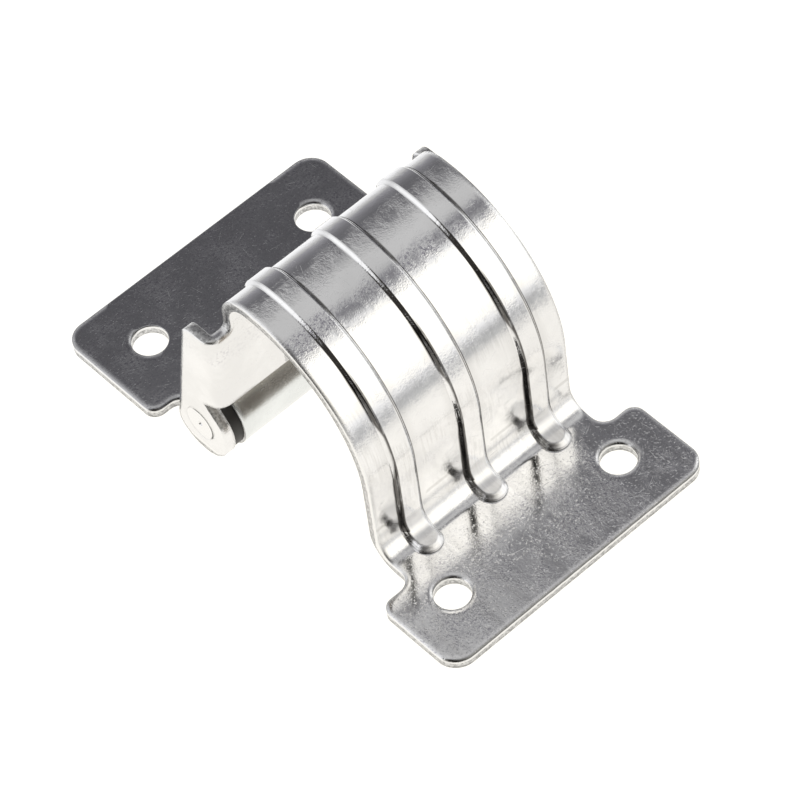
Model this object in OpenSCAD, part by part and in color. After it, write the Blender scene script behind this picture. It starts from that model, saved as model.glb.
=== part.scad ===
// Gooseneck concealed hinge pressed from stainless sheet.
// The origin is midway between the two screw holes of the arched leaf, on the mounting plane.
// X runs along the hinge pin, Y from the arched leaf to the flat leaf, Z up from the mounting plane.

/* [Sheet] */
// Thickness of the sheet that both leaves are pressed from
sheet_t = 1.5; // [1.2:0.1:1.8]
// Inside radius of the bend where the arch leaves its plate
foot_bend_r = 3.2; // [2:0.1:3.5]
// Inside radius of the tight bend behind the top of the arch
top_bend_r = 3.7; // [2:0.1:4.4]
// Inside radius of the bends that turn the ears back
ear_bend_r = 0.3; // [0.3:0.1:1]

/* [Mounting plates] */
// Width of both mounting plates
plate_w = 46; // [44:0.5:60]
// Diameter of the screw holes
hole_d = 5.2; // [3:0.1:6]
// Distance between the two screw holes of a plate
hole_pitch = 30; // [20:0.5:32]
// Distance from one plate's row of holes to the other's with the leaves flat
hole_row_gap = 60.8; // [58:0.1:66]
// Distance from the arched leaf's hole row to its front edge
arched_plate_front = 9; // [6:0.1:14]
// Distance from the arched leaf's hole row to its shoulders
arched_plate_back = 5.2; // [4:0.1:5.8]
// Distance from the flat leaf's hole row to its rear edge
flat_plate_back = 9.2; // [6:0.1:14]
// Distance from the flat leaf's hole row to its shoulders
flat_plate_front = 10; // [6:0.1:11]
// Radius of the outer corners of the plates
plate_corner_r = 3.2; // [1.5:0.1:5]
// Radius of the corners of the shoulders
shoulder_corner_r = 1.8; // [0.5:0.1:2]
// Radius of the hollow fillets between shoulders and neck
neck_fillet_r = 2.2; // [1:0.1:2.4]

/* [Arch] */
// Width of the arched strip
arch_w = 34.7; // [32:0.1:36]
// Distance from the hole row to the front face of the arch
arch_front = 11.45; // [10:0.05:13]
// Height of the top of the arch above the mounting plane
arch_h = 34.55; // [33:0.05:38]
// Outer radius of the large curve of the arch
arch_r = 20.35; // [17:0.05:22]
// Distance from the front face of the arch to the rear face of its back wall
arch_depth = 26.35; // [26:0.05:30]

/* [Beads] */
// Number of stiffening beads pressed along the arch
bead_count = 3; // [1:1:3]
// Distance from bead to bead
bead_pitch = 11.55; // [8:0.05:12]
// Width of a bead across its flat crest
bead_crest_w = 2.8; // [2:0.1:3.4]
// Width of the sloping flank on each side of the crest
bead_flank_w = 0.65; // [0.3:0.05:1]
// Height of the beads above the arch
bead_h = 0.5; // [0.3:0.05:0.7]
// Height of the beads' rounded ends above the plate
bead_end_h = 0.95; // [0.8:0.05:1.2]
// Radius with which a bead bridges the bend at the foot
bead_bridge_r = 2.4; // [2:0.1:3]
// Distance that a bead runs down the back wall below the top bend
bead_tail = 0.5; // [0:0.1:1.5]

/* [Ears] */
// Distance between the outer faces of the two ears
ear_span = 42.4; // [41:0.1:44]
// Height of the top edge of the ears
ear_top_h = 27; // [25:0.1:28]
// Height of the lower edge of the back wall
wall_bottom_h = 13.65; // [12.8:0.05:16]
// Radius of the round end of an ear about the pin
ear_end_r = 5.4; // [5:0.1:5.5]
// Distance from the pin axis to the rear edge of an ear, at the height of the pin
ear_rear_reach = 4.25; // [4:0.05:5]
// Distance from the rear face of the back wall to the rear edge of an ear, at its top
ear_top_reach = 4.05; // [3.5:0.05:5]
// Radius of an ear's upper rear corner
ear_top_corner_r = 2; // [1:0.1:2.5]
// Radius of an ear's lower rear corner
ear_low_corner_r = 3; // [2:0.1:4]
// Radius of the hollow fillet between the strip and the ears
ear_fillet_r = 1.1; // [0.5:0.1:1.3]
// Distance from the pin axis forward to the corner where the lower edge meets the round end
ear_notch = 1.95; // [1:0.05:3]
// Slope of the ears' lower front edge, in degrees below level
ear_edge_slope = 28; // [20:1:32]

/* [Pin and knuckle] */
// Distance from the arched leaf's hole row to the pin axis
pin_y = 42.35; // [42:0.05:43]
// Diameter of the hinge pin
pin_d = 5; // [4:0.1:5.5]
// Radial growth of the pin where its ends are staked flush in the ears
stake_flare = 0.15; // [0.05:0.05:0.3]
// Depth of the staked flare in the ears
stake_depth = 0.4; // [0.2:0.1:0.8]
// Radial clearance of the pin in the holes of the ears
stake_clearance = 0.02; // [0.01:0.01:0.05]
// Radial running clearance of the pin in the bushes
running_clearance = 0.05; // [0.02:0.01:0.1]
// Inside radius of the rolled knuckle
knuckle_bore_r = 4; // [3.8:0.1:4.3]
// Angle through which the sheet is rolled round the bushes
curl_angle = 304; // [270:1:310]
// Diameter of the flange of a bush
bush_flange_d = 10.3; // [9:0.1:10.6]
// Thickness of the flange of a bush
bush_flange_t = 1.65; // [1:0.05:2]
// Length of the sleeve of a bush inside the knuckle
bush_sleeve = 12; // [6:0.5:15]
// Radial clearance of a bush in the knuckle
bush_clearance = 0.02; // [0.01:0.01:0.05]
// Play between a bush and the ear beside it
side_play = 0.1; // [0.05:0.05:0.2]
// Diameter of the centre punch mark in the ends of the pin
punch_d = 0.9; // [0.4:0.1:1.4]

/* [Hidden] */
$fn = 96;
steel = [0.80, 0.80, 0.78];
dark_steel = [0.58, 0.58, 0.60];
pin_steel = [0.86, 0.86, 0.84];
black_polymer = [0.09, 0.09, 0.085];
quarter = 90;
past = 1;
flank_steps = 3;
bead_facets = 40;
skirt_flare = 0.25;

// The knuckle rolls up from the flat leaf, so its outside touches the mounting plane
knuckle_r = knuckle_bore_r + sheet_t;
pin_z = knuckle_r;
ear_out = ear_span / 2;
ear_in = ear_out - sheet_t;
knuckle_half = ear_in - side_play - bush_flange_t;

// Side view of the arch
arc_y = arch_front + arch_r;
arc_z = arch_h - arch_r;
wall_rear = arch_front + arch_depth;
wall_front = wall_rear - sheet_t;
top_bend_out = top_bend_r + sheet_t;
top_bend_y = wall_rear - top_bend_out;
top_bend_z = arch_h - top_bend_out;
foot_bend_out = foot_bend_r + sheet_t;
foot_y = arch_front - foot_bend_r;
foot_z = foot_bend_out;

// Side view of an ear: its slanting rear edge and the circles that round its corners
ear_bend_out = ear_bend_r + sheet_t;
ear_start_y = wall_front + ear_bend_out;
bend_x = ear_out - ear_bend_out;
rear_top = [wall_rear + ear_top_reach, ear_top_h];
rear_low = [pin_y + ear_rear_reach, pin_z];
lean = atan2(rear_low[0] - rear_top[0], rear_top[1] - rear_low[1]);
edge_out = [cos(lean), sin(lean)];
edge_down = [sin(lean), -cos(lean)];
edge_reach = edge_out * rear_top;
pin_axis = [pin_y, pin_z];
top_round_z = ear_top_h - ear_top_corner_r;
top_round = [(edge_reach - ear_top_corner_r - edge_out[1] * top_round_z) / edge_out[0], top_round_z];
low_shift = edge_reach - ear_low_corner_r - edge_out * pin_axis;
low_gap = ear_end_r - ear_low_corner_r;
low_drop = sqrt(max(low_gap * low_gap - low_shift * low_shift, 0));
low_round = pin_axis + low_shift * edge_out + low_drop * edge_down;
low_aim = (low_round - pin_axis) / low_gap;

// The lower front edge of an ear: down a slope to a corner, then a straight run onto the round end
edge_fall = tan(ear_edge_slope);
notch_y = pin_y - ear_notch;
notch = [notch_y, wall_bottom_h - (notch_y - wall_front) * edge_fall];
notch_turn = acos(min(ear_end_r / norm(notch - pin_axis), 1));
notch_dir = atan2(notch[1] - pin_z, notch[0] - pin_y) + notch_turn;
notch_touch = pin_axis + ear_end_r * [cos(notch_dir), sin(notch_dir)];

// Turns a drawing in Y and Z, or a revolve about Z, so that it stands along the hinge pin
module side_on() rotate([90, 0, 90]) children();

// A quarter of a bent sheet about an axis along X, from angle start, with the sheet's two radii
module sheet_bend(centre, inner, outer, width, start)
    side_on() translate([centre[0], centre[1], 0]) rotate(start)
        rotate_extrude(angle = quarter) translate([inner, -width / 2]) square([outer - inner, width]);

// What is cut off a square corner at point p to round it; sx and sy point into the plate
module corner_cut(p, sx, sy, r)
    translate(p) scale([sx, sy]) difference() {
        translate([-past, -past]) square(r + past);
        translate([r, r]) circle(r);
    }

// The hollow fillet between a shoulder and the neck; sx and sy point away from both
module hollow_fillet(p, sx, sy, r)
    translate(p) scale([sx, sy]) difference() {
        translate([-past / 2, -past / 2]) square(r + past / 2);
        translate([r, r]) circle(r);
    }

// A mounting plate with its hole row on Y = 0 and the neck leaving towards +Y
module plate_outline(outer_reach, inner_reach, neck_w, neck_end) {
    half = plate_w / 2;
    difference() {
        translate([-half, -outer_reach]) square([plate_w, outer_reach + inner_reach]);
        for (side = [-1, 1]) {
            corner_cut([side * half, -outer_reach], -side, 1, plate_corner_r);
            corner_cut([side * half, inner_reach], -side, -1, shoulder_corner_r);
        }
    }
    translate([-neck_w / 2, 0]) square([neck_w, neck_end]);
    for (side = [-1, 1])
        hollow_fillet([side * neck_w / 2, inner_reach], side, 1, neck_fillet_r);
}

module screw_holes(row_y)
    for (side = [-1, 1])
        translate([side * hole_pitch / 2, row_y, -past]) cylinder(d = hole_d, h = sheet_t + 2 * past);

// Half of a bead's section, from its middle: crest, curved flank, and a skirt that widens into the sheet
function bead_half(crest, skirt) = concat(
    [[0, -skirt], [0, bead_h]],
    [for (i = [0:flank_steps]) [crest + bead_flank_w * i / flank_steps,
        bead_h * (1 + cos(180 * i / flank_steps)) / 2]],
    [[crest + bead_flank_w + skirt * skirt_flare, -skirt]]);

// A bead's section with its height along X and its width along Y, as a revolve needs it
module bead_section(crest, skirt, base)
    for (side = [-1, 1])
        polygon([for (p = bead_half(crest, skirt)) [base + p[1], side * p[0]]]);

// The same section inside out, for the hollow side of the bridge at the foot
module bead_section_inward(crest, skirt, base)
    for (side = [-1, 1])
        polygon([for (p = bead_half(crest, skirt)) [base - p[1], side * p[0]]]);

module bead_bend(centre, base, crest, skirt, start)
    side_on() translate([centre[0], centre[1], 0]) rotate(start)
        rotate_extrude(angle = quarter) bead_section(crest, skirt, base);

// The round end of a bead; its axis is Z
module bead_nose(crest, skirt) rotate_extrude() polygon(bead_half(crest, skirt));

// One whole bead from its round end on the plate, over the arch, to its end on the back wall.
// shift moves it into the sheet: 0 for the raised side, the sheet's thickness for the hollow side.
module bead_run(shift, crest, skirt, foot_skirt) {
    plate_top = sheet_t + bead_end_h - bead_h - shift;
    front = arch_front + shift;
    bridge = [arch_front - bead_h - bead_bridge_r, sheet_t + bead_end_h + bead_bridge_r];
    arch_base = arch_r - shift;
    bend_base = top_bend_out - shift;
    rear = wall_rear - shift;
    tail_z = top_bend_z - bead_tail;
    translate([0, bridge[0], plate_top]) bead_nose(crest, foot_skirt);
    side_on() translate([bridge[0], bridge[1], 0]) rotate(-quarter)
        rotate_extrude(angle = quarter)
            bead_section_inward(crest, foot_skirt, bead_bridge_r + bead_h + shift);
    translate([0, front, bridge[1]]) rotate([quarter, 0, 0])
        bead_along_y(arc_z - bridge[1], crest, skirt);
    bead_bend([arc_y, arc_z], arch_base, crest, skirt, quarter);
    translate([0, arc_y, arch_h - shift]) bead_along_y(top_bend_y - arc_y, crest, skirt);
    bead_bend([top_bend_y, top_bend_z], bend_base, crest, skirt, 0);
    translate([0, rear, tail_z]) rotate([-quarter, 0, 0]) mirror([0, 1, 0])
        bead_along_y(bead_tail, crest, skirt);
    translate([0, rear, tail_z]) rotate([-quarter, 0, 0]) bead_nose(crest, skirt);
}

// A straight bead that lies along +Y from the origin, raised towards +Z
module bead_along_y(length, crest, skirt)
    rotate([-quarter, 0, 0]) linear_extrude(height = length)
        for (side = [-1, 1])
            polygon([for (p = bead_half(crest, skirt)) [side * p[0], -p[1]]]);

// The flat shape of an ear in side view
module ear_outline() {
    difference() {
        union() {
            translate(pin_axis) circle(ear_end_r);
            polygon([
                [ear_start_y, wall_bottom_h - ear_bend_out * edge_fall],
                notch,
                notch_touch,
                pin_axis,
                rear_low,
                rear_top,
                [ear_start_y, ear_top_h]]);
        }
        polygon([rear_top - 8 * edge_down, rear_top + 40 * edge_down,
            rear_top + 40 * edge_down + 8 * edge_out, rear_top - 8 * edge_down + 8 * edge_out]);
        difference() {
            polygon([top_round, [top_round[0], ear_top_h + past], rear_top + [past, past],
                top_round + (ear_top_corner_r + past) * edge_out]);
            translate(top_round) circle(ear_top_corner_r);
        }
        difference() {
            polygon([low_round, low_round + ear_low_corner_r * edge_out,
                low_round + ear_low_corner_r * (edge_out + 2 * edge_down),
                low_round + 2 * ear_low_corner_r * low_aim]);
            translate(low_round) circle(ear_low_corner_r);
        }
    }
}

// What is cut away below the bend of an ear, where its lower edge slopes down from the back wall
module below_bend()
    translate([bend_x, 0, 0]) rotate([90, 0, 90]) linear_extrude(height = ear_bend_out + past)
        polygon([
            [wall_front - past, wall_bottom_h + past * edge_fall],
            [ear_start_y, wall_bottom_h - ear_bend_out * edge_fall],
            [ear_start_y, -past],
            [wall_front - past, -past]]);

// One ear, on the side of +X, with the bend that joins it to the back wall
module ear() {
    difference() {
        translate([bend_x, ear_start_y, pin_z]) rotate(-quarter)
            rotate_extrude(angle = quarter) translate([ear_bend_r, 0])
                square([sheet_t, ear_top_h - pin_z]);
        below_bend();
    }
    translate([ear_in, 0, 0]) rotate([90, 0, 90]) linear_extrude(height = sheet_t) ear_outline();
}

module back_wall() {
    translate([-bend_x, wall_front, wall_bottom_h]) cube([2 * bend_x, sheet_t, ear_top_h - wall_bottom_h]);
    translate([-arch_w / 2, wall_front, wall_bottom_h]) cube([arch_w, sheet_t, top_bend_z - wall_bottom_h]);
    translate([0, wall_rear, 0]) rotate([90, 0, 0]) linear_extrude(height = sheet_t)
        for (side = [-1, 1])
            hollow_fillet([side * arch_w / 2, ear_top_h], side, 1, ear_fillet_r);
    for (side = [0, 1]) mirror([side, 0, 0]) ear();
}

module arch_strip() {
    sheet_bend([foot_y, foot_z], foot_bend_r, foot_bend_out, arch_w, -quarter);
    translate([-arch_w / 2, arch_front, foot_z]) cube([arch_w, sheet_t, arc_z - foot_z]);
    sheet_bend([arc_y, arc_z], arch_r - sheet_t, arch_r, arch_w, quarter);
    translate([-arch_w / 2, arc_y, arch_h - sheet_t]) cube([arch_w, top_bend_y - arc_y, sheet_t]);
    sheet_bend([top_bend_y, top_bend_z], top_bend_r, top_bend_out, arch_w, 0);
}

module beads(shift, crest, skirt, foot_skirt, $fn = bead_facets)
    for (i = [0:bead_count - 1])
        translate([(i - (bead_count - 1) / 2) * bead_pitch, 0, 0]) bead_run(shift, crest, skirt, foot_skirt);

module arched_leaf() color(steel) difference() {
    union() {
        linear_extrude(height = sheet_t)
            plate_outline(arched_plate_front, arched_plate_back, arch_w, foot_y);
        arch_strip();
        back_wall();
        beads(0, bead_crest_w / 2, sheet_t / 2, 0.93 * sheet_t);
    }
    beads(sheet_t, (bead_crest_w - bead_flank_w) / 2, past, 2 * past);
    screw_holes(0);
    translate([-ear_out - past, pin_y, pin_z]) rotate([0, 90, 0])
        cylinder(r = pin_d / 2 + stake_clearance, h = ear_span + 2 * past);
    for (side = [0, 1]) mirror([side, 0, 0])
        translate([ear_out - stake_depth, pin_y, pin_z]) rotate([0, 90, 0])
            cylinder(r1 = pin_d / 2 + stake_clearance, r2 = pin_d / 2 + stake_clearance + stake_flare,
                h = stake_depth);
}

module flat_leaf() color(dark_steel) difference() {
    union() {
        translate([0, hole_row_gap, 0]) mirror([0, 1, 0]) linear_extrude(height = sheet_t)
            plate_outline(flat_plate_back, flat_plate_front, 2 * knuckle_half, hole_row_gap - pin_y);
        // The roll starts straight under the pin, where the neck ends, and goes round the far way
        side_on() translate([pin_y, pin_z, 0]) rotate(-quarter) mirror([0, 1, 0])
            rotate_extrude(angle = curl_angle) translate([knuckle_bore_r, -knuckle_half])
                square([sheet_t, 2 * knuckle_half]);
    }
    screw_holes(hole_row_gap);
}

module hinge_pin() color(pin_steel) difference() {
    union() {
        translate([-ear_out, pin_y, pin_z]) rotate([0, 90, 0]) cylinder(d = pin_d, h = ear_span);
        for (side = [0, 1]) mirror([side, 0, 0])
            translate([ear_out - stake_depth, pin_y, pin_z]) rotate([0, 90, 0])
                cylinder(r1 = pin_d / 2, r2 = pin_d / 2 + stake_flare, h = stake_depth);
    }
    for (side = [0, 1]) mirror([side, 0, 0])
        translate([ear_out - punch_d / 2, pin_y, pin_z]) rotate([0, 90, 0])
            cylinder(d1 = 0, d2 = punch_d, h = punch_d / 2);
}

// The bush at the +X end of the knuckle: a flange beside the ear and a sleeve round the pin
module bush() color(black_polymer)
    translate([knuckle_half, pin_y, pin_z]) rotate([0, 90, 0]) difference() {
        union() {
            cylinder(d = bush_flange_d, h = bush_flange_t);
            translate([0, 0, -bush_sleeve])
                cylinder(r = knuckle_bore_r - bush_clearance, h = bush_sleeve + bush_flange_t / 2);
        }
        translate([0, 0, -bush_sleeve - past])
            cylinder(r = pin_d / 2 + running_clearance, h = bush_sleeve + bush_flange_t + 2 * past);
    }

module bush_right() bush();

module bush_left() mirror([1, 0, 0]) bush();

arched_leaf();
flat_leaf();
hinge_pin();
bush_left();
bush_right();
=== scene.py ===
"""A gooseneck concealed hinge in pressed stainless sheet: steel and polymer finishes, studio and camera."""

import math

import bpy
from mathutils import Matrix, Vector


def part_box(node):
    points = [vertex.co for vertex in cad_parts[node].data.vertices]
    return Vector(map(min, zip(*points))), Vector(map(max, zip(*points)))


bl_info = {
    "name": "Gooseneck Concealed Hinge",
    "version": (1, 0, 0),
    "blender": (4, 5, 0),
    "location": "3D View > Sidebar > Hinge",
    "description": "Finishes a pressed sheet hinge and sets it in a pale studio",
    "category": "Object",
}

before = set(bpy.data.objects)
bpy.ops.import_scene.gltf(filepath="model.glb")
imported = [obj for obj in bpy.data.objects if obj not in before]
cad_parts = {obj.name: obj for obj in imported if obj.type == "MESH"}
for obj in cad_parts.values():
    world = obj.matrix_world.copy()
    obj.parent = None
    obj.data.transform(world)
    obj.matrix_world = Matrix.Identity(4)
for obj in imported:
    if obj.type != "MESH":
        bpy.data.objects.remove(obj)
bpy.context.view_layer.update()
MM = 0.001

# The sheet, and a height just above the plates' tops
SHEET = 1.5 * MM
PLATE_LIMIT = SHEET + 0.1 * MM

# The arch's outer radius and its axis
ARCH_RADIUS = 20.35 * MM
ARCH_AXIS_Y = 31.8 * MM
ARCH_AXIS_Z = 14.2 * MM

# The strips' sides and the play allowed on them, and the ears' insides and fold
STRIP_SIDE = 17.6 * MM
STRIP_SIDE_PLAY = 0.6 * MM
EAR_INSIDE = 19.75 * MM
EAR_FOLD_Y = 38.2 * MM

# The beads: from one to the next, half the crest, the flank beyond it, its steepest slope and its foot
BEAD_PITCH = 11.55 * MM
BEAD_CREST = 1.4 * MM
BEAD_FLANK = 0.65 * MM
BEAD_SLOPE = 1.21
BEAD_FOOT = 2.07 * MM

# Heights over which the plates' look sets in, depths over which it wanes, and their share of grain
PLATE_FADE = (2.2 * MM, 1.6 * MM)
BEND_FADE = (3.0 * MM, 6.5 * MM)
PLATE_GRAIN = 0.4

# Tones of the sheet, among them painted shade and painted reflection: the rollover's dark line, the beads'
# creases and left flanks, the soft line above the foot bend, two bands of spots on the arch, the arch's
# inner side and the rear plate
# Painted shade: the dark line along the rollover of the plates' front edges
ROLLOVER_SHADE = (0.06, 0.06, 0.06, 1.0)
# Painted shade in the beads' creases and painted dark reflection down their left flanks
BEAD_SHADE_TONE = (0.06, 0.055, 0.05, 1.0)
# Marks on the arch, and painted shade in the soft line above the foot bend
WALL_MARK_AND_SHADE = (0.40, 0.39, 0.38, 1.0)
# Dulled spots, and painted dark reflection where they gather in two bands on the arch
DULL_SPOT_AND_REFLECTION = (0.36, 0.35, 0.40, 1.0)
# Painted shade on the arch's inner side
INNER_SHADE = (0.42, 0.385, 0.345, 1.0)
BURNISHED = (0.80, 0.80, 0.80, 1.0)
TORN_DARK = (0.32, 0.32, 0.32, 1.0)
TORN_LIGHT = (0.66, 0.66, 0.66, 1.0)
CURL_TINT = (0.97, 1.0, 1.0, 1.0)
# Painted reflection: the rear plate darkened for the darker reflection it shows
REAR_PLATE_SHADE = (0.64, 0.64, 0.65, 1.0)
CLOUD_SHADE = 0.91
SCRATCH_DEPTH = 0.004 * MM

# The pin's turned end
# Painted shadow: a dark crescent in the gap round the pin's end, and the radii it spans
PIN_END_SHADOW = (0.03, 0.028, 0.025, 1.0)
PIN_SHADOW_RIM = (2.36 * MM, 2.46 * MM)
PIN_ROUGHNESS = 0.24
RING_FREQUENCY = 30000.0
RING_DEPTH = 0.0008 * MM

# The bushes' skin
SKIN_DEPTH = 0.004 * MM
DUST_GAIN = 3.0

# The floor: how far it lies below the hinge, its own tone, and its glow near the hinge and far off
FLOOR_DROP = 0.02 * MM
FLOOR_TONE = (0.04, 0.04, 0.04, 1.0)
NEAR_GLOW = (1.0, 0.972, 0.91, 1.0)
NEAR_GLOW_BEHIND = (0.98, 0.98, 0.98, 1.0)
FAR_GLOW = (0.54, 0.54, 0.53, 1.0)
FAR_GLOW_BEHIND = (0.84, 0.84, 0.84, 1.0)
GLOW_MIDDLE = (0.0, 0.025, 0.0)
GLOW_REACH = (0.07, 0.30)

# The studio's walls at the front's left and right, and tints of the rest: bright, middling and dark
LEFT_WALL = (0.04, 0.036, 0.032, 1.0)
RIGHT_WALL = (1.5, 1.5, 1.46, 1.0)
BRIGHT_TINT = (1.0, 0.97, 0.89)
MIDDLE_TINT = (1.0, 0.995, 0.985)
DARK_TINT = (1.0, 0.985, 1.045)
BRIGHT_ABOVE = 1.3
MIDDLE_ABOVE = 0.45

# The whole arc in degrees, and how far its low and high stretches shift toward the left
HALF_TURN = 180.0
LOW_SHIFT = 4.0
HIGH_SHIFT = 12.5

# Brightness of the walls by the angle in degrees from the front horizon, over the top, to the back
STUDIO_ARC = (
    (0.0, 0.56),
    (4.0, 0.88),
    (9.0, 1.26),
    (14.0, 1.50),
    (20.0, 1.60),
    (42.0, 1.78),
    (60.0, 1.78),
    (66.0, 1.50),
    (70.0, 1.25),
    (73.0, 0.85),
    (76.0, 0.48),
    (79.0, 0.28),
    (82.0, 0.24),
    (84.5, 0.35),
    (87.0, 0.60),
    (91.0, 0.70),
    (100.0, 0.70),
    (105.0, 0.66),
    (108.0, 0.46),
    (112.0, 0.26),
    (117.0, 0.17),
    (124.0, 0.165),
    (130.0, 0.175),
    (136.0, 0.21),
    (142.0, 0.245),
    (148.0, 0.28),
    (154.0, 0.33),
    (160.0, 0.39),
    (166.0, 0.53),
    (172.0, 0.67),
    (176.0, 0.78),
    (180.0, 0.84),
)

# The camera: its directions, and its place at the usual distance
CAMERA_RIGHT = (0.73387, -0.67298, -0.09234)
CAMERA_DOWN = (-0.57671, -0.54545, -0.60819)
CAMERA_FORWARD = (0.35893, 0.49959, -0.78840)
CAMERA_PLACE = (-0.21868, -0.27840, 0.48556)
CAMERA_DISTANCE = 0.60104
CAMERA_SENSOR = 36.0


# Settings


class SteelSettings(bpy.types.PropertyGroup):
    """The finish of the pressed sheet."""

    colour: bpy.props.FloatVectorProperty(
        name="Colour",
        description="Reflected colour of the bare stainless sheet",
        subtype="COLOR",
        size=3,
        min=0.0,
        max=1.0,
        default=(0.79, 0.79, 0.80),
    )
    roughness: bpy.props.FloatProperty(
        name="Roughness",
        description="How blurred reflections are in the clean sheet",
        subtype="FACTOR",
        min=0.0,
        max=1.0,
        default=0.10,
    )
    edge_round: bpy.props.FloatProperty(
        name="Edge rounding",
        description="Radius of the rounding that light shows on the cut edges",
        subtype="DISTANCE",
        unit="LENGTH",
        min=0.0,
        default=1.0 * MM,
    )
    crease_round: bpy.props.FloatProperty(
        name="Crease rounding",
        description="Radius of the rounding that light shows along the creases of the beads",
        subtype="DISTANCE",
        unit="LENGTH",
        min=0.0,
        default=0.26 * MM,
    )
    ripple: bpy.props.FloatProperty(
        name="Ripple",
        description="Height of the slow waves that pressing leaves in the sheet",
        subtype="DISTANCE",
        unit="LENGTH",
        min=0.0,
        default=0.012 * MM,
    )
    grain: bpy.props.FloatProperty(
        name="Grain",
        description="Height of the fine grain of the sheet",
        subtype="DISTANCE",
        unit="LENGTH",
        min=0.0,
        default=0.020 * MM,
    )
    scratches: bpy.props.FloatProperty(
        name="Scratches",
        description="How strongly the fine handling scratches show",
        subtype="FACTOR",
        min=0.0,
        max=1.0,
        default=0.6,
    )


class BushSettings(bpy.types.PropertyGroup):
    """The finish of the black bushes."""

    colour: bpy.props.FloatVectorProperty(
        name="Colour",
        description="Colour of the moulded polymer",
        subtype="COLOR",
        size=3,
        min=0.0,
        max=1.0,
        default=(0.018, 0.017, 0.016),
    )
    roughness: bpy.props.FloatProperty(
        name="Roughness",
        description="How matt the moulded polymer is",
        subtype="FACTOR",
        min=0.0,
        max=1.0,
        default=0.48,
    )


class StudioSettings(bpy.types.PropertyGroup):
    """The floor, the light and the camera."""

    floor_size: bpy.props.FloatProperty(
        name="Floor",
        description="Length of the sides of the floor",
        subtype="DISTANCE",
        unit="LENGTH",
        min=0.5,
        default=3.0,
    )
    floor_glow: bpy.props.FloatProperty(
        name="Floor glow",
        description="Light that the pale floor gives off, so that no shadow shows on it",
        min=0.0,
        default=1.18,
    )
    light: bpy.props.FloatProperty(
        name="Light",
        description="Strength of the studio's light",
        min=0.0,
        default=1.0,
    )
    lens: bpy.props.FloatProperty(
        name="Lens",
        description="Focal length of the camera, in millimetres",
        min=10.0,
        default=205.98,
    )
    distance: bpy.props.FloatProperty(
        name="Distance",
        description="Distance from the camera to the hinge's hole row",
        subtype="DISTANCE",
        unit="LENGTH",
        min=0.05,
        default=CAMERA_DISTANCE,
    )


# Node trees


def add_node(tree, kind, **settings):
    """A node of that kind with its own settings."""
    node = tree.nodes.new(kind)
    for name, value in settings.items():
        setattr(node, name, value)
    return node


def feed(tree, socket, value):
    """Joins an output to the socket, or sets the socket to a constant."""
    if isinstance(value, bpy.types.NodeSocket):
        tree.links.new(value, socket)
    else:
        socket.default_value = value


def feed_all(tree, node, values):
    """Feeds a node's inputs by name."""
    for name, value in values.items():
        feed(tree, node.inputs[name], value)


def calc(tree, operation, *values, clamp=False):
    """The output of a Math node."""
    node = add_node(tree, "ShaderNodeMath", operation=operation, use_clamp=clamp)
    for socket, value in zip(node.inputs, values):
        feed(tree, socket, value)
    return node.outputs[0]


def chain(tree, operation, values):
    """The values joined one after another by a Math operation."""
    result = values[0]
    for value in values[1:]:
        result = calc(tree, operation, result, value)
    return result


def product(tree, *values):
    """The values multiplied."""
    return chain(tree, "MULTIPLY", values)


def total(tree, *values):
    """The values added."""
    return chain(tree, "ADD", values)


def largest(tree, *values):
    """The largest of the values."""
    return chain(tree, "MAXIMUM", values)


def opposite(tree, mask):
    """One where the mask is zero, and zero where it is one."""
    return calc(tree, "SUBTRACT", 1.0, mask)


def vector_calc(tree, operation, *values, out="Vector"):
    """The output of a Vector Math node."""
    node = add_node(tree, "ShaderNodeVectorMath", operation=operation)
    for socket, value in zip(node.inputs, values):
        feed(tree, socket, value)
    return node.outputs[out]


def axes(tree, vector):
    """The X, Y and Z of a vector."""
    node = add_node(tree, "ShaderNodeSeparateXYZ")
    feed(tree, node.inputs[0], vector)
    return tuple(node.outputs)


def joined(tree, *values):
    """A vector made of up to three values."""
    node = add_node(tree, "ShaderNodeCombineXYZ")
    for socket, value in zip(node.inputs, values):
        feed(tree, socket, value)
    return node.outputs[0]


def turned(tree, normal, start, end):
    """A normal taken from one space to another."""
    node = add_node(tree, "ShaderNodeVectorTransform", vector_type="NORMAL")
    node.convert_from = start
    node.convert_to = end
    feed(tree, node.inputs[0], normal)
    return node.outputs[0]


def ease(tree, value, low, high, start=0.0, end=1.0):
    """A smooth step of value from start at low to end at high."""
    node = add_node(tree, "ShaderNodeMapRange", interpolation_type="SMOOTHSTEP")
    limits = {"From Min": low, "From Max": high, "To Min": start, "To Max": end}
    feed_all(tree, node, {"Value": value, **limits})
    return node.outputs["Result"]


def band(tree, value, rise, fall):
    """A mask that rises over one pair of values and falls over another."""
    return product(tree, ease(tree, value, *rise), ease(tree, value, *fall, start=1.0, end=0.0))


def blend_colour(tree, share, first, second, mode="MIX"):
    """Two colours mixed by share."""
    node = add_node(tree, "ShaderNodeMix", data_type="RGBA", blend_type=mode)
    feed(tree, node.inputs[0], share)
    feed(tree, node.inputs[6], first)
    feed(tree, node.inputs[7], second)
    return node.outputs[2]


def blend_vector(tree, share, first, second):
    """Two vectors mixed by share."""
    node = add_node(tree, "ShaderNodeMix", data_type="VECTOR")
    feed(tree, node.inputs[0], share)
    feed(tree, node.inputs[4], first)
    feed(tree, node.inputs[5], second)
    return node.outputs[1]


def noise(tree, place, scale, detail=2.0, roughness=0.5, distortion=0.0):
    """The value of a noise texture at place."""
    node = add_node(tree, "ShaderNodeTexNoise")
    feed_all(tree, node, {"Vector": place, "Scale": scale, "Detail": detail})
    feed_all(tree, node, {"Roughness": roughness, "Distortion": distortion})
    return node.outputs["Fac"]


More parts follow.
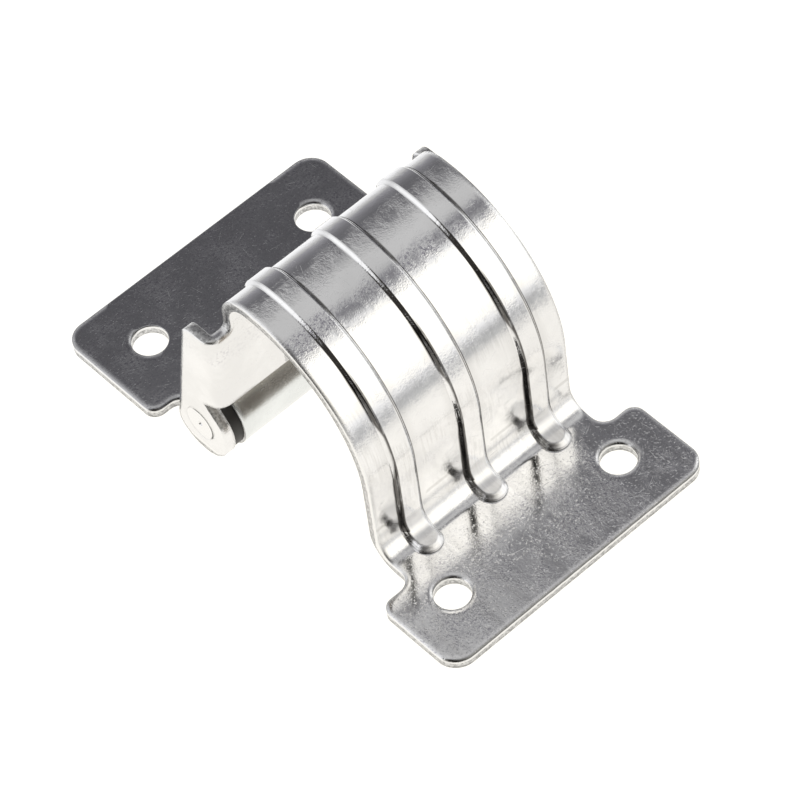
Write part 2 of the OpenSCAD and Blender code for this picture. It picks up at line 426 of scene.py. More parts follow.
def new_group(name, inputs, outputs):
    """A node group with named sockets, and its input and output nodes."""
    group = bpy.data.node_groups.new(name, "ShaderNodeTree")
    for label, kind, value in inputs:
        socket = group.interface.new_socket(label, in_out="INPUT", socket_type=kind)
        if value is not None:
            socket.default_value = value
    for label, kind in outputs:
        group.interface.new_socket(label, in_out="OUTPUT", socket_type=kind)
    return group, group.nodes.new("NodeGroupInput"), group.nodes.new("NodeGroupOutput")


def use_group(tree, group, **values):
    """A placed node group with its inputs set by name."""
    node = add_node(tree, "ShaderNodeGroup", node_tree=group)
    feed_all(tree, node, values)
    return node


def new_material(name):
    """An empty material and its Principled BSDF."""
    material = bpy.data.materials.new(name)
    material.use_nodes = True
    return material, material.node_tree, material.node_tree.nodes["Principled BSDF"]


def raise_surface(tree, shader, height, normal=None):
    """Bends the shader's normal by a height, over its own normal or the one given."""
    bump = add_node(tree, "ShaderNodeBump")
    feed_all(tree, bump, {"Distance": 1.0, "Height": height})
    if normal is not None:
        feed(tree, bump.inputs["Normal"], normal)
    feed(tree, shader.inputs["Normal"], bump.outputs[0])


# Shared effects


def short_scratches():
    """Short straight strokes, one in each cell of a Voronoi pattern, turned at random about a heading."""
    group, given, made = new_group(
        "short_scratches",
        [
            ("Place", "NodeSocketVector", None),
            ("Scale", "NodeSocketFloat", 500.0),
            ("Length", "NodeSocketFloat", 0.9 * MM),
            ("Width", "NodeSocketFloat", 0.06 * MM),
            ("Heading", "NodeSocketFloat", 0.6),
            ("Spread", "NodeSocketFloat", 2.4),
            ("Share", "NodeSocketFloat", 0.5),
        ],
        [("Mask", "NodeSocketFloat")],
    )
    source = given.outputs
    cells = add_node(group, "ShaderNodeTexVoronoi", voronoi_dimensions="3D")
    feed_all(group, cells, {"Vector": source["Place"], "Scale": source["Scale"]})
    step = vector_calc(group, "SUBTRACT", source["Place"], cells.outputs["Position"])
    step_x, step_y, _ = axes(group, step)
    chances = add_node(group, "ShaderNodeSeparateColor")
    feed(group, chances.inputs[0], cells.outputs["Color"])
    for_turn, for_share, strength = chances.outputs
    swing = product(group, calc(group, "SUBTRACT", for_turn, 0.5), source["Spread"])
    turn = total(group, source["Heading"], swing)
    cosine = calc(group, "COSINE", turn)
    sine = calc(group, "SINE", turn)
    along = total(group, product(group, step_x, cosine), product(group, step_y, sine))
    across = calc(group, "SUBTRACT", product(group, step_y, cosine), product(group, step_x, sine))
    half = product(group, source["Length"], 0.5)
    body = ease(group, calc(group, "ABSOLUTE", across), 0.0, source["Width"], start=1.0, end=0.0)
    ends = ease(group, calc(group, "ABSOLUTE", along), product(group, half, 0.5), half, start=1.0, end=0.0)
    kept = calc(group, "LESS_THAN", for_share, source["Share"])
    feed(group, made.inputs["Mask"], product(group, body, ends, kept, strength))
    return group


def sheet_relief():
    """The height of rolled and pressed sheet: slow ripples, grain that comes in patches, and pits."""
    group, given, made = new_group(
        "sheet_relief",
        [
            ("Place", "NodeSocketVector", None),
            ("Ripple", "NodeSocketFloat", 0.01 * MM),
            ("Grain", "NodeSocketFloat", 0.001 * MM),
        ],
        [("Height", "NodeSocketFloat"), ("Patches", "NodeSocketFloat")],
    )
    place = given.outputs["Place"]
    grain = given.outputs["Grain"]
    _, y, z = axes(group, place)
    slow = noise(group, place, 210.0, detail=1.5, roughness=0.45)
    waves = product(group, slow, given.outputs["Ripple"])
    patches = ease(group, noise(group, place, 260.0, detail=3.0, roughness=0.6), 0.40, 0.64)
    strength = total(group, 0.15, product(group, patches, 1.25))
    by_plate = ease(group, z, *PLATE_FADE, start=1.0, end=PLATE_GRAIN)
    fine = noise(group, place, 4600.0, roughness=0.65)
    specks = product(group, fine, grain, strength, by_plate)
    near_bend = ease(group, y, *BEND_FADE, start=0.7, end=0.3)
    pitted = ease(group, z, *PLATE_FADE, start=0.12, end=near_bend)
    pits = ease(group, noise(group, place, 2900.0, detail=1.0), 0.60, 0.74)
    pits = product(group, pits, grain, pitted)
    height = calc(group, "SUBTRACT", total(group, waves, specks), pits)
    feed(group, made.inputs["Height"], height)
    feed(group, made.inputs["Patches"], patches)
    return group


def cut_faces():
    """Where the sheet was cut: edges of plates and holes, sides of the strips and rims of the ears."""
    group, given, made = new_group(
        "cut_faces",
        [("Place", "NodeSocketVector", None), ("Normal", "NodeSocketVector", None)],
        [("Mask", "NodeSocketFloat")],
    )
    x, y, z = axes(group, given.outputs["Place"])
    facing_x, _, facing_z = axes(group, vector_calc(group, "ABSOLUTE", given.outputs["Normal"]))
    out_x = calc(group, "ABSOLUTE", x)
    in_plate = calc(group, "LESS_THAN", z, PLATE_LIMIT)
    plate_edge = product(group, in_plate, calc(group, "LESS_THAN", facing_z, 0.4))
    sideways = calc(group, "GREATER_THAN", facing_x, 0.7)
    at_side = calc(group, "COMPARE", out_x, STRIP_SIDE, STRIP_SIDE_PLAY)
    strip_edge = product(group, sideways, at_side)
    in_ear = calc(group, "GREATER_THAN", out_x, EAR_INSIDE)
    lengthways = calc(group, "LESS_THAN", facing_x, 0.4)
    past_fold = calc(group, "GREATER_THAN", y, EAR_FOLD_Y)
    off_fold = largest(group, past_fold, calc(group, "GREATER_THAN", facing_z, 0.5))
    ear_edge = product(group, in_ear, lengthways, opposite(group, in_plate), off_fold)
    feed(group, made.inputs["Mask"], largest(group, plate_edge, strip_edge, ear_edge))
    return group


def effects():
    """The shared node groups, made once."""
    found = bpy.data.node_groups
    return {
        "scratches": found.get("short_scratches") or short_scratches(),
        "relief": found.get("sheet_relief") or sheet_relief(),
        "cut": found.get("cut_faces") or cut_faces(),
    }


# Places and normals on the sheet


def object_place(tree):
    """Object coordinates."""
    return add_node(tree, "ShaderNodeTexCoord").outputs["Object"]


def object_normal(tree):
    """The true normal in object space."""
    geometry = add_node(tree, "ShaderNodeNewGeometry")
    return turned(tree, geometry.outputs["True Normal"], "WORLD", "OBJECT")


def edge_radius(tree, spot, steel):
    """The rounding to show: wide at the cut edges of plates and strips, narrow along the beads."""
    x, y, z = spot
    by_side = ease(tree, calc(tree, "ABSOLUTE", x), 14.7 * MM, 15.6 * MM)
    wide = largest(tree, by_side, ease(tree, y, 6.4 * MM, 5.4 * MM))
    widening = product(tree, wide, steel.edge_round - steel.crease_round)
    flat = ease(tree, z, 1.75 * MM, 1.55 * MM)
    on_plates = product(tree, wide, flat, 0.2 * steel.edge_round)
    return total(tree, steel.crease_round, widening, on_plates)


def cut_depth(tree, spot, in_plate):
    """How deep a cut face is below the outer skin: below the plates' tops, and inwards from the arch."""
    _, y, z = spot
    back = calc(tree, "SUBTRACT", ARCH_AXIS_Y, y)
    up = largest(tree, calc(tree, "SUBTRACT", z, ARCH_AXIS_Z), 0.0)
    reach = vector_calc(tree, "LENGTH", joined(tree, 0.0, back, up), out="Value")
    in_arch = product(tree, opposite(tree, in_plate), calc(tree, "SUBTRACT", ARCH_RADIUS, reach))
    below_top = product(tree, in_plate, calc(tree, "SUBTRACT", SHEET, z))
    return total(tree, in_arch, below_top)


def bead_offset(tree, x):
    """The distance to the right of the nearest bead's middle, and the same without its sign."""
    offset = calc(tree, "WRAP", x, BEAD_PITCH / 2, -BEAD_PITCH / 2)
    return offset, calc(tree, "ABSOLUTE", offset)


def bead_normal(tree, spot, lean):
    """The normal in object space, with the beads' flanks made smooth above the foot bend."""
    x, _, z = spot
    offset, off_bead = bead_offset(tree, x)
    past_crest = calc(tree, "SUBTRACT", off_bead, BEAD_CREST)
    down_flank = calc(tree, "DIVIDE", past_crest, BEAD_FLANK, clamp=True)
    steep = product(tree, calc(tree, "SINE", product(tree, down_flank, math.pi)), BEAD_SLOPE)
    tilt = joined(tree, product(tree, steep, calc(tree, "SIGN", offset)))
    level = vector_calc(tree, "NORMALIZE", vector_calc(tree, "MULTIPLY", lean, (0.0, 1.0, 1.0)))
    smooth = vector_calc(tree, "NORMALIZE", vector_calc(tree, "ADD", level, tilt))
    inside = ease(tree, calc(tree, "ABSOLUTE", x), 14.6 * MM, 14.2 * MM)
    above_bend = ease(tree, z, 7.0 * MM, 9.0 * MM)
    return blend_vector(tree, product(tree, inside, above_bend), lean, smooth)


def rounded_normal(tree, spot, steel, leaf):
    """The normal with its edges rounded, and how much of it points backwards."""
    bevel = add_node(tree, "ShaderNodeBevel", samples=8)
    feed(tree, bevel.inputs["Radius"], edge_radius(tree, spot, steel))
    normal = bevel.outputs[0]
    lean = turned(tree, normal, "WORLD", "OBJECT")
    _, lean_y, _ = axes(tree, lean)
    if leaf == "arched":
        normal = turned(tree, bead_normal(tree, spot, lean), "OBJECT", "WORLD")
    return normal, lean_y


# Marks on the sheet


def scratch_marks(tree, scratches, spot, share, strength):
    """Handling scratches of two sizes, laid on the sheet with height added to depth."""
    x, y, z = spot
    flat = joined(tree, x, total(tree, y, z))
    coarse = use_group(
        tree,
        scratches,
        Place=flat,
        Scale=420.0,
        Length=2.0 * MM,
        Width=0.075 * MM,
        Heading=0.5,
        Spread=2.6,
        Share=share,
    )
    fine = use_group(
        tree,
        scratches,
        Place=flat,
        Scale=1100.0,
        Length=0.7 * MM,
        Width=0.06 * MM,
        Heading=-0.3,
        Spread=6.0,
        Share=0.5 * share,
    )
    both = largest(tree, coarse.outputs["Mask"], fine.outputs["Mask"])
    return calc(tree, "MULTIPLY", both, strength, clamp=True)


def crease_shade(tree, place, spot, offset, off_bead):
    """Painted shade in a thin broken line in the crease at the foot of each flank, fading out on the left
    ones higher up.
    """
    _, y, z = spot
    on_right = calc(tree, "GREATER_THAN", offset, 0.0)
    on_left = opposite(tree, on_right)
    by_crown = band(tree, y, (24.0 * MM, 26.0 * MM), (30.5 * MM, 31.5 * MM))
    crown_width = product(tree, by_crown, on_right, 0.2 * MM)
    core = total(tree, 0.02 * MM, product(tree, on_right, 0.03 * MM))
    width = total(tree, 0.14 * MM, crown_width, product(tree, on_right, -0.03 * MM))
    from_foot = calc(tree, "ABSOLUTE", calc(tree, "SUBTRACT", off_bead, BEAD_FOOT))
    line = ease(tree, from_foot, core, width, start=1.0, end=0.0)
    # the painted shade fades out on the left flanks higher up
    fading = product(tree, on_left, ease(tree, z, 8.0 * MM, 13.0 * MM, start=0.0, end=0.95))
    least = total(tree, 0.35, product(tree, on_right, 0.45))
    pattern = noise(tree, place, 700.0, detail=3.0, roughness=0.6)
    return product(tree, line, opposite(tree, fading), ease(tree, pattern, 0.3, 0.6, start=least, end=1.0))


def flank_shade_streaks(tree, place, z, offset):
    """Painted dark reflection in streaks down the left flanks, narrow at mid height and wider above and
    below.
    """
    low = ease(tree, z, 18.0 * MM, 12.0 * MM)
    high = ease(tree, z, 21.5 * MM, 25.0 * MM)
    widening = product(tree, largest(tree, low, high), -0.55 * MM)
    edge = total(tree, -1.52 * MM, widening)
    foot = ease(tree, offset, total(tree, edge, -0.18 * MM), total(tree, edge, 0.12 * MM))
    crest = ease(tree, offset, -1.15 * MM, -1.3 * MM)
    below_crown = ease(tree, z, 31.0 * MM, 28.5 * MM)
    stretched = vector_calc(tree, "MULTIPLY", place, (4200.0, 500.0, 500.0))
    streaks = ease(tree, noise(tree, stretched, 1.0, roughness=0.6), 0.30, 0.50, start=0.7, end=1.0)
    return product(tree, foot, crest, below_crown, streaks)


def bead_shade(tree, place, spot):
    """Painted shade and painted dark reflection along the beads, on the outside of the arch."""
    x, y, z = spot
    offset, off_bead = bead_offset(tree, x)
    line = crease_shade(tree, place, spot, offset, off_bead)
    streaks = flank_shade_streaks(tree, place, z, offset)
    on_strip = calc(tree, "LESS_THAN", calc(tree, "ABSOLUTE", x), 1.5 * BEAD_PITCH)
    before_wall = calc(tree, "LESS_THAN", y, 30.0 * MM)
    outside = largest(tree, before_wall, calc(tree, "GREATER_THAN", z, 28.0 * MM))
    above_foot = calc(tree, "GREATER_THAN", z, 3.2 * MM)
    return product(tree, largest(tree, line, streaks), on_strip, outside, above_foot)


def foot_bend(tree, spot):
    """The bend at the foot of the arch, and the beads' ends within it."""
    x, y, z = spot
    _, off_bead = bead_offset(tree, x)
    low = ease(tree, z, 4.6 * MM, 6.2 * MM, start=1.0, end=0.0)
    above_plate = calc(tree, "GREATER_THAN", z, 1.56 * MM)
    in_front = calc(tree, "LESS_THAN", y, 13.0 * MM)
    bend = product(tree, low, above_plate, in_front)
    return bend, product(tree, bend, ease(tree, off_bead, 1.7 * MM, 1.3 * MM))


def wall_marks_and_shade(tree, place, spot):
    """Faint marks on the arch, with painted shade: a soft painted shade line above the foot bend, in place
    of the sheet's slight reverse curve there; halos by the beads; drawn streaks.
    """
    x, y, z = spot
    _, off_bead = bead_offset(tree, x)
    # painted shade: a soft dark line above the foot bend, standing in for the sheet's slight reverse curve
    from_line = calc(tree, "ABSOLUTE", calc(tree, "SUBTRACT", z, 6.6 * MM))
    line = ease(tree, from_line, 0.1 * MM, 0.55 * MM, start=1.0, end=0.0)
    line = product(tree, line, ease(tree, off_bead, 2.6 * MM, 3.4 * MM), 0.35)
    beside = calc(tree, "GREATER_THAN", off_bead, 2.0 * MM)
    halo = product(tree, ease(tree, off_bead, 3.6 * MM, 2.2 * MM), beside, 0.16)
    stretched = vector_calc(tree, "MULTIPLY", place, (2900.0, 200.0, 200.0))
    streaks = ease(tree, noise(tree, stretched, 1.0, roughness=0.6, distortion=0.6), 0.45, 0.6)
    patches = ease(tree, noise(tree, place, 160.0, detail=1.0), 0.44, 0.56)
    drawn = product(tree, streaks, patches, 0.16)
    in_front = calc(tree, "LESS_THAN", y, 16.0 * MM)
    return product(tree, largest(tree, line, halo, drawn), in_front)


def dull_spots_and_reflection(tree, place, spot, patches, leaf):
    """Dulled spots, dense on the plates; on the arch, denser dark spots in two bands, at mid height and by
    the crown, are painted speckled reflection.
    """
    _, y, z = spot
    spots = ease(tree, noise(tree, place, 2600.0, roughness=0.6), 0.48, 0.66)
    density = ease(tree, z, 2.6 * MM, PLATE_LIMIT, start=0.04, end=0.5)
    if leaf == "arched":
        density = product(tree, density, ease(tree, y, *BEND_FADE, start=1.0, end=0.25))
        # painted reflection: denser dark spots in two bands, standing in for dark speckled reflections on
        # the arch
        middle = band(tree, z, (21.5 * MM, 23.0 * MM), (24.5 * MM, 26.0 * MM))
        crown = band(tree, y, (22.0 * MM, 23.4 * MM), (25.0 * MM, 26.2 * MM))
        crown = product(tree, crown, ease(tree, z, 30.5 * MM, 32.0 * MM, start=0.0, end=2.2))
        reflection_bands = product(tree, largest(tree, middle, crown), 0.3)
        density = largest(tree, density, reflection_bands)
    return product(tree, spots, total(tree, 0.35, patches), density)


def shear_tone(tree, place, depth, facing_y, in_plate):
    """The tone of a cut face, burnished above and torn below, with painted shade in a dark line along the
    rolled lip of front-facing plate edges; and where it is torn.
    """
    wander = calc(tree, "SUBTRACT", noise(tree, place, 500.0), 0.5)
    depth = total(tree, depth, product(tree, wander, 0.3 * MM))
    sheared = noise(tree, place, 2200.0, detail=3.0, roughness=0.7)
    torn_tone = blend_colour(tree, ease(tree, sheared, 0.35, 0.65), TORN_DARK, TORN_LIGHT)
    torn = ease(tree, depth, 0.50 * MM, 0.64 * MM)
    tone = blend_colour(tree, torn, BURNISHED, torn_tone)
    to_front = ease(tree, facing_y, -0.25, -0.75)
    # painted shade: the rollover's dark line, on front-facing plate edges only
    lip_shade = product(tree, ease(tree, depth, 0.24 * MM, 0.12 * MM), to_front, in_plate, 0.9)
    return blend_colour(tree, lip_shade, tone, ROLLOVER_SHADE), torn


# Materials


def clean_tone(tree, place, steel):
    """The bare sheet's colour, slightly cloudy."""
    bare = (*steel.colour, 1.0)
    cloudy = (*[CLOUD_SHADE * channel for channel in steel.colour], 1.0)
    clouds = noise(tree, place, 130.0, detail=4.0, roughness=0.6)
    return blend_colour(tree, ease(tree, clouds, 0.35, 0.65), cloudy, bare)


def mark_arched(tree, tone, blur, place, spot, depth, in_plate):
    """The tone and blur of the arched leaf: foot bend, wall marks with a painted shade line, painted shade
    along the beads and an inner side darkened as painted shade.
    """
    bend, bead_end = foot_bend(tree, spot)
    blur = total(tree, blur, product(tree, bend, 0.11), product(tree, bead_end, 0.16))
    # wall marks, their soft line above the foot bend being painted shade
    tone = blend_colour(tree, wall_marks_and_shade(tree, place, spot), tone, WALL_MARK_AND_SHADE)
    # painted shade and painted dark reflection along the beads
    bead_shade_share = product(tree, bead_shade(tree, place, spot), 0.92)
    tone = blend_colour(tree, bead_shade_share, tone, BEAD_SHADE_TONE)
    # painted shade: the inner side of the arch, below its outer skin, darkened
    below_skin = calc(tree, "GREATER_THAN", depth, 0.9 * MM)
    before_ears = calc(tree, "LESS_THAN", spot[1], 33.0 * MM)
    inner_shade = product(tree, below_skin, before_ears, opposite(tree, in_plate))
    return blend_colour(tree, inner_shade, tone, INNER_SHADE), blur


def mark_flat(tree, tone, blur, spot):
    """The tone and blur of the flat leaf: a blurred curl and a rear plate painted greyer, a painted darker
    reflection.
    """
    on_plate = ease(tree, spot[1], 49.0 * MM, 51.5 * MM)
    # painted reflection: the rear plate painted greyer
    tint = blend_colour(tree, on_plate, CURL_TINT, REAR_PLATE_SHADE)
    tone = blend_colour(tree, 1.0, tone, tint, mode="MULTIPLY")
    return tone, total(tree, blur, ease(tree, on_plate, 0.0, 1.0, start=0.12, end=0.0))


def steel_material(
    name, steel, groups, leaf, scratch_share, scratch_gain=1.0, ripple_gain=1.0, grain_gain=1.0
):
    """Stainless sheet: rippled, grained and finely scratched, with its cut edges rounded in the light."""
    material, tree, shader = new_material(name)
    place = object_place(tree)
    spot = axes(tree, place)
    normal = object_normal(tree)
    _, facing_y, facing_z = axes(tree, normal)
    in_plate = calc(tree, "LESS_THAN", spot[2], PLATE_LIMIT)
    depth = cut_depth(tree, spot, in_plate)
    cut = use_group(tree, groups["cut"], Place=place, Normal=normal).outputs["Mask"]
    ripple = steel.ripple * ripple_gain
    grain = steel.grain * grain_gain
    relief = use_group(tree, groups["relief"], Place=place, Ripple=ripple, Grain=grain)
    patches = relief.outputs["Patches"]
    strength = steel.scratches * scratch_gain
    marks = scratch_marks(tree, groups["scratches"], spot, scratch_share, strength)
    surface, lean_y = rounded_normal(tree, spot, steel, leaf)

    cut_tone, torn = shear_tone(tree, place, depth, facing_y, in_plate)
    blur = total(tree, steel.roughness, product(tree, patches, 0.05), product(tree, cut, torn, 0.2))
    tone = clean_tone(tree, place, steel)
    tone = blend_colour(tree, dull_spots_and_reflection(tree, place, spot, patches, leaf), tone, DULL_SPOT_AND_REFLECTION)
    if leaf == "arched":
        tone, blur = mark_arched(tree, tone, blur, place, spot, depth, in_plate)
    else:
        tone, blur = mark_flat(tree, tone, blur, spot)
    # painted shade: a dark line where the rounded top edge of the plates leans toward the front
    on_top = product(tree, in_plate, calc(tree, "GREATER_THAN", facing_z, 0.9))
    front_rim_shade = product(tree, ease(tree, lean_y, -0.36, -0.50), on_top, 0.85)
    tone = blend_colour(tree, front_rim_shade, tone, ROLLOVER_SHADE)

    blur = calc(tree, "ADD", blur, product(tree, marks, 0.5), clamp=True)
    height = calc(tree, "SUBTRACT", relief.outputs["Height"], product(tree, marks, SCRATCH_DEPTH))
    colour = blend_colour(tree, cut, tone, cut_tone)
    feed_all(tree, shader, {"Base Color": colour, "Metallic": 1.0, "Roughness": blur})
    raise_surface(tree, shader, height, surface)
    return material


def pin_material(steel, axis_y, axis_z):
    """Turned steel: fine rings about the pin's axis, and a painted shadow, a dark crescent in the gap round
    the upper front of its end.
    """
    material, tree, shader = new_material("turned_steel")
    _, y, z = axes(tree, object_place(tree))
    out_y = calc(tree, "SUBTRACT", y, axis_y)
    out_z = calc(tree, "SUBTRACT", z, axis_z)
    radius = vector_calc(tree, "LENGTH", joined(tree, 0.0, out_y, out_z), out="Value")
    up_front = total(tree, product(tree, out_y, -0.82), product(tree, out_z, 0.57))
    # painted shadow on the upper front side of the pin's end only
    shadowed_side = ease(tree, up_front, 0.2 * MM, 1.3 * MM)
    shadow_crescent = product(tree, ease(tree, radius, *PIN_SHADOW_RIM), shadowed_side)
    colour = blend_colour(tree, shadow_crescent, (*steel.colour, 1.0), PIN_END_SHADOW)
    feed_all(tree, shader, {"Base Color": colour, "Metallic": 1.0, "Roughness": PIN_ROUGHNESS})
    rings = calc(tree, "SINE", product(tree, radius, RING_FREQUENCY))
    raise_surface(tree, shader, product(tree, rings, RING_DEPTH))
    return material


def polymer_material(bush):
    """Moulded black polymer with a fine matt skin."""
    material, tree, shader = new_material("black_polymer")
    place = object_place(tree)
    dust = ease(tree, noise(tree, place, 600.0, detail=3.0, roughness=0.6), 0.55, 0.75)
    dusty = (*[DUST_GAIN * channel for channel in bush.colour], 1.0)
    colour = blend_colour(tree, product(tree, dust, 0.25), (*bush.colour, 1.0), dusty)
    feed_all(tree, shader, {"Base Color": colour, "Roughness": bush.roughness})
    skin = noise(tree, place, 2400.0, roughness=0.6)
    raise_surface(tree, shader, product(tree, skin, SKIN_DEPTH))
    return material


def floor_material(strength):
    """A pale floor that gives off light: warm near the hinge, neutral behind it, and dimmer far off."""
    material, tree, shader = new_material("pale_floor")
    place = object_place(tree)
    behind = ease(tree, axes(tree, place)[1], 0.05, 0.09)
    near = blend_colour(tree, behind, NEAR_GLOW, NEAR_GLOW_BEHIND)
    far = blend_colour(tree, behind, FAR_GLOW, FAR_GLOW_BEHIND)
    reach = vector_calc(tree, "DISTANCE", place, GLOW_MIDDLE, out="Value")
    glow = blend_colour(tree, ease(tree, reach, *GLOW_REACH), near, far)
    feed_all(tree, shader, {"Base Color": FLOOR_TONE, "Roughness": 1.0, "Specular IOR Level": 0.0})
    feed_all(tree, shader, {"Emission Color": glow, "Emission Strength": strength})
    return material


def finish_node(node, material):
    """Gives a CAD node its material."""
    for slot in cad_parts[node].material_slots:
        slot.material = material


# Studio


def wall_tone(value):
    """The walls' colour at a brightness: warm where bright, neutral between, slightly violet where dark."""
    tint = DARK_TINT
    if value > BRIGHT_ABOVE:
        tint = BRIGHT_TINT
    elif value > MIDDLE_ABOVE:
        tint = MIDDLE_TINT
    return (*[value * channel for channel in tint], 1.0)


def shift(tree, x, start, slope, most):
    """A value that grows from zero as x falls below start, up to a most."""
    grown = product(tree, calc(tree, "SUBTRACT", start, x), slope)
    return calc(tree, "MINIMUM", largest(tree, grown, 0.0), most)


def arc_tone(tree, x, angle):
    """The walls' colour by angle, with two stretches of the arc shifted along it toward the left."""
    lower = band(tree, angle, (60.0, 66.0), (84.0, 92.0))
    upper = band(tree, angle, (98.0, 110.0), (118.0, 129.0))
    rising = product(tree, lower, shift(tree, x, start=0.385, slope=28.6, most=1.5), LOW_SHIFT)
    falling = product(tree, upper, shift(tree, x, start=0.378, slope=34.0, most=1.6), HIGH_SHIFT)
    bent = total(tree, angle, calc(tree, "SUBTRACT", rising, falling))
    arc = add_node(tree, "ShaderNodeValToRGB")
    feed(tree, arc.inputs[0], calc(tree, "DIVIDE", bent, HALF_TURN, clamp=True))
    stops = arc.color_ramp.elements
    for degrees, _ in STUDIO_ARC[1:-1]:
        stops.new(degrees / HALF_TURN)
    for stop, (_, value) in zip(stops, STUDIO_ARC):
        stop.color = wall_tone(value)
    return arc.outputs["Color"]


def grey(tree, value):
    """A colour with the value in all three channels."""
    node = add_node(tree, "ShaderNodeCombineColor")
    for socket in node.inputs:
        feed(tree, socket, value)
    return node.outputs[0]


# Operators


class HINGE_OT_arched_leaf(bpy.types.Operator):
    """Finish the arched leaf as pressed stainless sheet"""

    bl_idname = "hinge.arched_leaf"
    bl_label = "Arched Leaf"

    def execute(self, context):
        steel = context.scene.hinge_steel
        material = steel_material("arched_steel_finish", steel, effects(), "arched", 0.5)
        finish_node("arched_leaf", material)
        return {"FINISHED"}


class HINGE_OT_flat_leaf(bpy.types.Operator):
    """Finish the flat leaf as rolled stainless sheet"""

    bl_idname = "hinge.flat_leaf"
    bl_label = "Flat Leaf"

    def execute(self, context):
        material = steel_material(
            "flat_steel_finish",
            context.scene.hinge_steel,
            effects(),
            "flat",
            0.25,
            scratch_gain=0.8,
            ripple_gain=0.4,
            grain_gain=0.5,
        )
        finish_node("flat_leaf", material)
        return {"FINISHED"}


class HINGE_OT_pin(bpy.types.Operator):
    """Finish the hinge pin as turned steel"""

    bl_idname = "hinge.pin"
    bl_label = "Hinge Pin"

    def execute(self, context):
        low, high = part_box("hinge_pin")
        middle = (low + high) / 2
        finish_node("hinge_pin", pin_material(context.scene.hinge_steel, middle.y, middle.z))
        return {"FINISHED"}


class HINGE_OT_bushes(bpy.types.Operator):
    """Finish the two bushes as black polymer"""

    bl_idname = "hinge.bushes"
    bl_label = "Bushes"

    def execute(self, context):
        material = polymer_material(context.scene.hinge_bush)
        for node in ("bush_left", "bush_right"):
            finish_node(node, material)
        return {"FINISHED"}


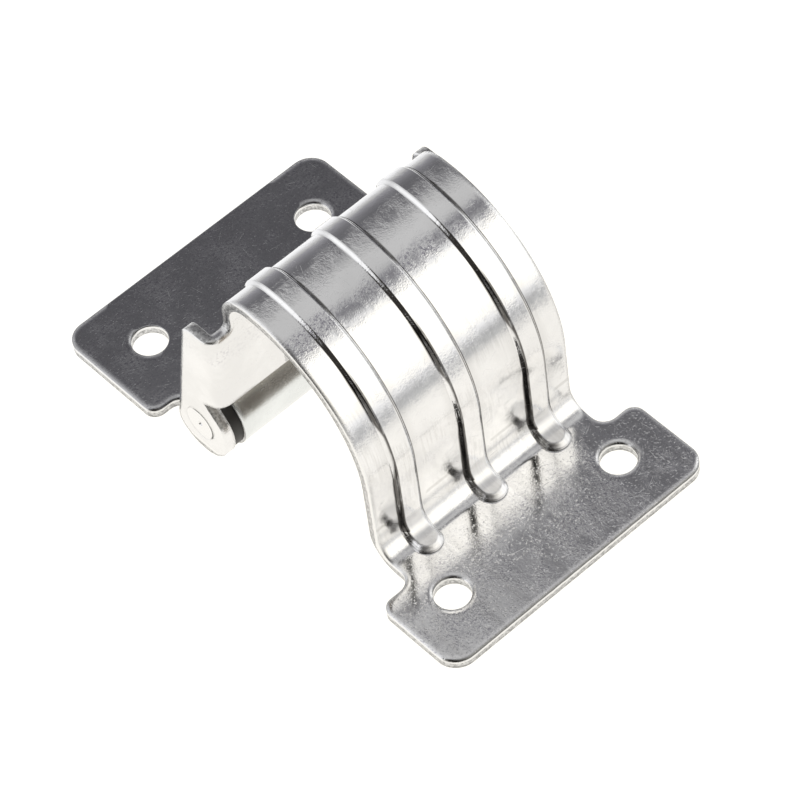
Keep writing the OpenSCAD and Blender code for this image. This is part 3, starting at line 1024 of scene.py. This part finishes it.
class HINGE_OT_studio(bpy.types.Operator):
    """Make the pale floor, the soft light round it and the camera"""

    bl_idname = "hinge.studio"
    bl_label = "Studio"

    def execute(self, context):
        scene = context.scene
        self.make_floor(scene)
        self.make_light(scene)
        self.make_camera(scene)
        scene.view_settings.view_transform = "Standard"
        scene.view_settings.look = "None"
        return {"FINISHED"}

    def make_floor(self, scene):
        """A square floor just below the hinge."""
        half = scene.hinge_studio.floor_size / 2
        corners = [(-half, -half, 0), (half, -half, 0), (half, half, 0), (-half, half, 0)]
        mesh = bpy.data.meshes.new("floor")
        mesh.from_pydata(corners, [], [(0, 1, 2, 3)])
        mesh.materials.append(floor_material(scene.hinge_studio.floor_glow))
        floor = bpy.data.objects.new("floor", mesh)
        scene.collection.objects.link(floor)
        floor.location.z = -FLOOR_DROP

    def make_light(self, scene):
        """Soft walls round the hinge: an arc from front to back, and walls at its sides."""
        world = bpy.data.worlds.new("studio")
        scene.world = world
        world.use_nodes = True
        tree = world.node_tree
        x, y, z = axes(tree, add_node(tree, "ShaderNodeTexCoord").outputs["Generated"])
        front = product(tree, y, -1.0)
        angle = calc(tree, "DEGREES", calc(tree, "ARCTAN2", z, front))
        to_back = ease(tree, y, 0.02, 0.20)
        to_front = opposite(tree, to_back)
        back_left = product(tree, ease(tree, x, 0.10, -0.10), to_back)
        side = grey(tree, ease(tree, x, -0.50, -0.90, start=0.82, end=1.3))
        tone = blend_colour(tree, back_left, arc_tone(tree, x, angle), side)
        front_left = product(tree, ease(tree, x, 0.30, -0.55), to_front)
        tone = blend_colour(tree, front_left, tone, LEFT_WALL)
        front_right = product(tree, ease(tree, x, 0.52, 0.70), to_front)
        tone = blend_colour(tree, front_right, tone, RIGHT_WALL)
        strength = scene.hinge_studio.light
        feed_all(tree, tree.nodes["Background"], {"Color": tone, "Strength": strength})

    def make_camera(self, scene):
        """A camera with a long lens, above the front left of the hinge."""
        studio = scene.hinge_studio
        data = bpy.data.cameras.new("camera")
        data.lens = studio.lens
        data.sensor_width = CAMERA_SENSOR
        data.clip_start = 0.01
        data.clip_end = 20.0
        camera = bpy.data.objects.new("camera", data)
        scene.collection.objects.link(camera)
        stand = [value * studio.distance / CAMERA_DISTANCE for value in CAMERA_PLACE]
        rows = [
            (right, -down, -forward, place)
            for right, down, forward, place in zip(CAMERA_RIGHT, CAMERA_DOWN, CAMERA_FORWARD, stand)
        ]
        camera.matrix_world = Matrix((*rows, (0.0, 0.0, 0.0, 1.0)))
        scene.camera = camera


class HINGE_PT_panel(bpy.types.Panel):
    """The hinge's settings and steps"""

    bl_idname = "HINGE_PT_panel"
    bl_label = "Hinge"
    bl_space_type = "VIEW_3D"
    bl_region_type = "UI"
    bl_category = "Hinge"

    def draw(self, context):
        scene = context.scene
        for group in (scene.hinge_steel, scene.hinge_bush, scene.hinge_studio):
            box = self.layout.box()
            for name in group.__annotations__:
                box.prop(group, name)
        for operator in OPERATORS:
            self.layout.operator(operator.bl_idname)


OPERATORS = (HINGE_OT_arched_leaf, HINGE_OT_flat_leaf, HINGE_OT_pin, HINGE_OT_bushes, HINGE_OT_studio)
CLASSES = (SteelSettings, BushSettings, StudioSettings, *OPERATORS, HINGE_PT_panel)


def register():
    """Adds the classes and the scene's settings."""
    for cls in CLASSES:
        bpy.utils.register_class(cls)
    bpy.types.Scene.hinge_steel = bpy.props.PointerProperty(type=SteelSettings)
    bpy.types.Scene.hinge_bush = bpy.props.PointerProperty(type=BushSettings)
    bpy.types.Scene.hinge_studio = bpy.props.PointerProperty(type=StudioSettings)


def unregister():
    """Takes the settings and the classes away."""
    del bpy.types.Scene.hinge_studio
    del bpy.types.Scene.hinge_bush
    del bpy.types.Scene.hinge_steel
    for cls in reversed(CLASSES):
        bpy.utils.unregister_class(cls)


def main():
    """Runs each step in order."""
    register()
    bpy.ops.hinge.arched_leaf()
    bpy.ops.hinge.flat_leaf()
    bpy.ops.hinge.pin()
    bpy.ops.hinge.bushes()
    bpy.ops.hinge.studio()


if __name__ == "__main__":
    main()
